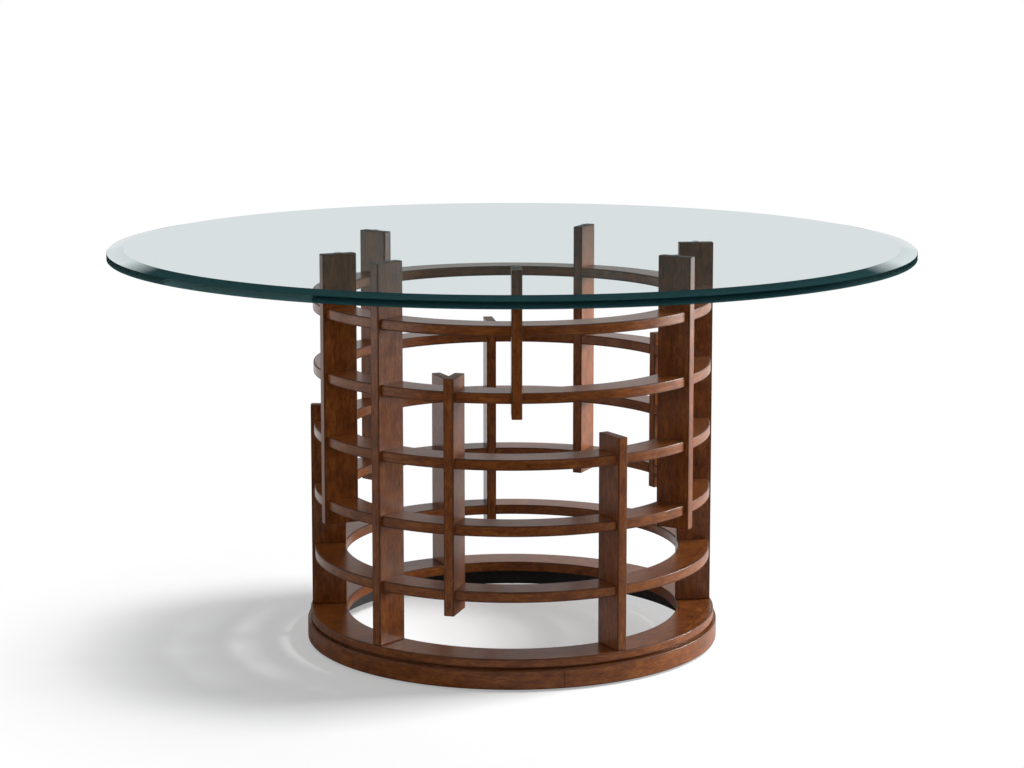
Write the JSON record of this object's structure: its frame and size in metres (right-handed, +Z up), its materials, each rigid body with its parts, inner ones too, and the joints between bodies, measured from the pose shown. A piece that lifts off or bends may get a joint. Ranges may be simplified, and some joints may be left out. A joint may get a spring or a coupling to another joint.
{
  "type": "round dining table",
  "caption": "Round dining table: bevelled clear glass top lying loose on a round lattice drum of stained wood, with staggered upright boards, curved flat rails and a plinth on levellers.",
  "frame": {"origin": "on the floor under the middle of the table", "axes": "+Z up along the drum's axis, -Y towards the front, +X to the right seen from the front"},
  "size_m": [1.5238, 1.5238, 0.762],
  "materials": {
    "glass": "clear float glass with a faint green tint, polished bevel",
    "clear_bumper": "clear soft plastic disc",
    "stained_wood": "medium brown stain, satin lacquer, darker glaze along the edges",
    "dowel_wood": "plain beech, unfinished",
    "zinc_steel": "zinc plated",
    "black_nylon": "moulded black nylon"
  },
  "bodies": {
    "lattice_base": {"glass_bumpers": "clear_bumper", "post_front_left_tall": "stained_wood", "post_left_tall": "stained_wood", "post_back_left_tall": "stained_wood", "post_back_right_tall": "stained_wood", "post_front_right_tall": "stained_wood", "post_right_tall": "stained_wood", "post_front_hanging": "stained_wood", "post_front_middle": "stained_wood", "post_back_middle": "stained_wood", "post_back_right_middle": "stained_wood", "post_left_low": "stained_wood", "post_front_right_low": "stained_wood", "post_back_left_low": "stained_wood", "rails_level_1_front": "stained_wood", "rails_level_1_right": "stained_wood", "rails_level_1_back": "stained_wood", "rails_level_1_left": "stained_wood", "rails_level_2_front": "stained_wood", "rails_level_2_right": "stained_wood", "rails_level_2_back": "stained_wood", "rails_level_2_left": "stained_wood", "rails_level_3_front": "stained_wood", "rails_level_3_right": "stained_wood", "rails_level_3_back": "stained_wood", "rails_level_3_left": "stained_wood", "rails_level_4_front": "stained_wood", "rails_level_4_right": "stained_wood", "rails_level_4_back": "stained_wood", "rails_level_4_left": "stained_wood", "rails_level_5_front": "stained_wood", "rails_level_5_right": "stained_wood", "rails_level_5_back": "stained_wood", "rails_level_5_left": "stained_wood", "base_ring_segment_1": "stained_wood", "base_ring_segment_2": "stained_wood", "base_ring_segment_3": "stained_wood", "base_ring_segment_4": "stained_wood", "plinth_segment_1": "stained_wood", "plinth_segment_2": "stained_wood", "plinth_segment_3": "stained_wood", "plinth_segment_4": "stained_wood", "rail_dowels_level_1": "dowel_wood", "rail_dowels_level_2": "dowel_wood", "rail_dowels_level_3": "dowel_wood", "rail_dowels_level_4": "dowel_wood", "rail_dowels_level_5": "dowel_wood", "post_foot_dowels": "dowel_wood", "base_ring_splines": "dowel_wood", "plinth_splines": "dowel_wood", "base_screws": "zinc_steel", "leveller_sleeves": "zinc_steel"},
    "glass_top": {"glass_top": "glass"},
    "leveller_1": {"leveller_1": "black_nylon"},
    "leveller_2": {"leveller_2": "black_nylon"},
    "leveller_3": {"leveller_3": "black_nylon"},
    "leveller_4": {"leveller_4": "black_nylon"}
  },
  "joints": [
    {"name": "glass_lift", "type": "slide", "parent": "lattice_base", "child": "glass_top", "axis": [0, 0, 1], "range_m": [0, 0.2]},
    {"name": "leveller_1_turn", "type": "hinge", "parent": "lattice_base", "child": "leveller_1", "pos_m": [0, -0.3735, 0], "axis": [0, 0, 1], "continuous": true},
    {"name": "leveller_2_turn", "type": "hinge", "parent": "lattice_base", "child": "leveller_2", "pos_m": [0.3735, 0, 0], "axis": [0, 0, 1], "continuous": true},
    {"name": "leveller_3_turn", "type": "hinge", "parent": "lattice_base", "child": "leveller_3", "pos_m": [0, 0.3735, 0], "axis": [0, 0, 1], "continuous": true},
    {"name": "leveller_4_turn", "type": "hinge", "parent": "lattice_base", "child": "leveller_4", "pos_m": [-0.3735, 0, 0], "axis": [0, 0, 1], "continuous": true}
  ]
}
